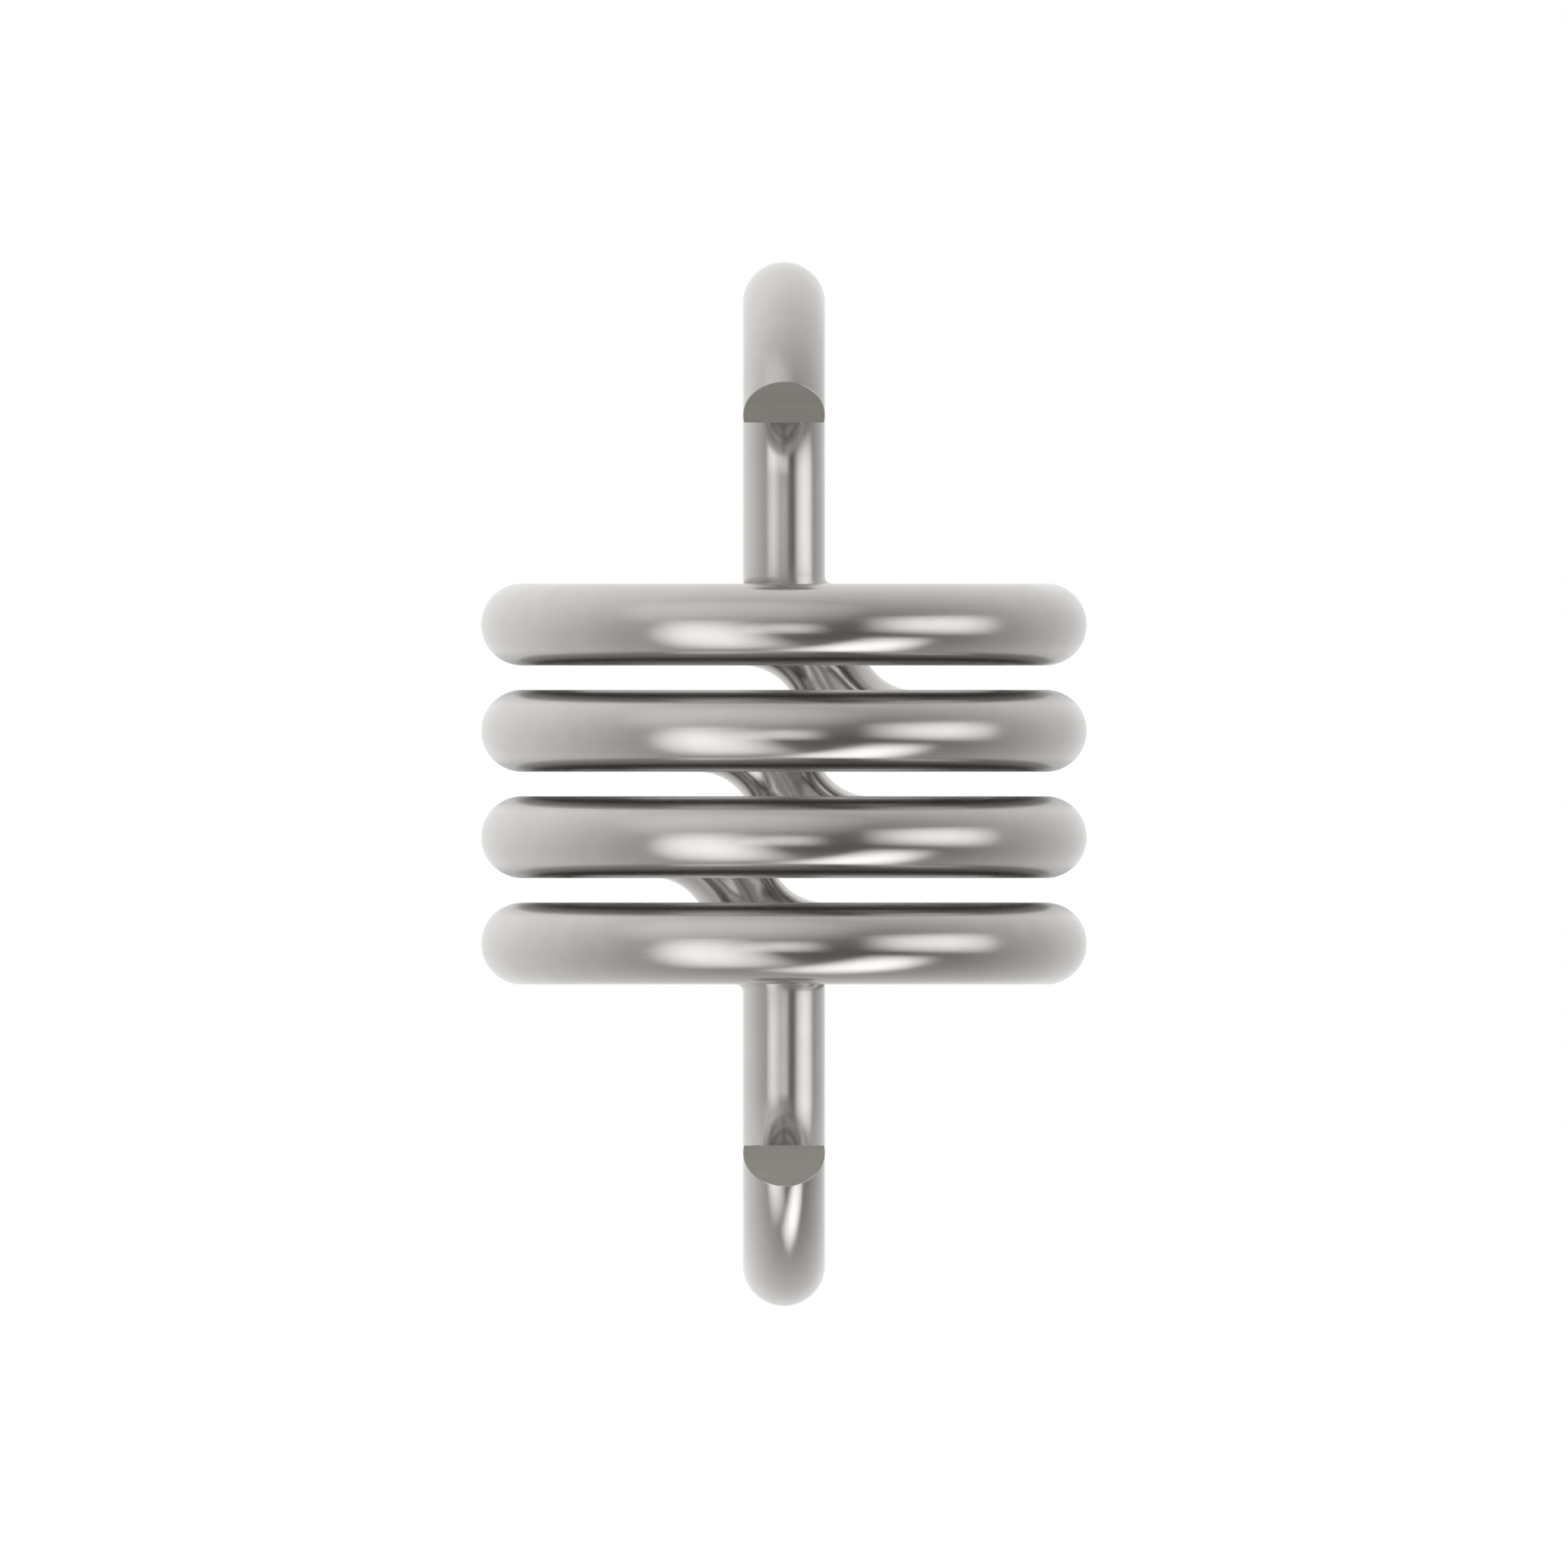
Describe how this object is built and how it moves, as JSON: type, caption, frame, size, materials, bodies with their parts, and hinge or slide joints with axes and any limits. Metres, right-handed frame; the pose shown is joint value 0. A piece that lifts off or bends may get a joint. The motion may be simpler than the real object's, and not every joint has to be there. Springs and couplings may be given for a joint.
{
  "type": "extension spring",
  "caption": "Heavy extension spring of polished round wire: flat open-wound turns joined by short crossovers, with an open hook bent up from each end.",
  "frame": {"origin": "centre of the whole spring, on the coil's axis, halfway between the two eyes", "axes": "+Z along the coil's axis towards the upper eye; -Y towards the side that both hooks open to; +X completes a right-handed frame, along the pin that an eye holds"},
  "size_m": [0.037, 0.037, 0.0638],
  "materials": {
    "spring_wire": "drawn stainless spring wire, tumbled to a bright polish; faint die lines along the wire, matt sheared tips"
  },
  "bodies": {
    "upper_end": {"upper_eye": "spring_wire", "upper_shank": "spring_wire", "upper_bend": "spring_wire", "upper_lead_in": "spring_wire", "turn_1": "spring_wire", "crossover_1": "spring_wire"},
    "second_turn": {"turn_2": "spring_wire", "crossover_2": "spring_wire"},
    "third_turn": {"turn_3": "spring_wire", "crossover_3": "spring_wire"},
    "lower_end": {"turn_4": "spring_wire", "lower_lead_in": "spring_wire", "lower_bend": "spring_wire", "lower_shank": "spring_wire", "lower_eye": "spring_wire"}
  },
  "joints": [
    {"name": "first_gap", "type": "slide", "parent": "upper_end", "child": "second_turn", "axis": [0, 0, -1], "range_m": [-0.0014, 0.004], "stiffness_N_per_m": 188300, "deforming": ["crossover_1"]},
    {"name": "second_gap", "type": "slide", "parent": "second_turn", "child": "third_turn", "axis": [0, 0, -1], "range_m": [-0.0014, 0.004], "stiffness_N_per_m": 188300, "deforming": ["crossover_2"]},
    {"name": "third_gap", "type": "slide", "parent": "third_turn", "child": "lower_end", "axis": [0, 0, -1], "range_m": [-0.0014, 0.004], "stiffness_N_per_m": 188300, "deforming": ["crossover_3"]}
  ]
}
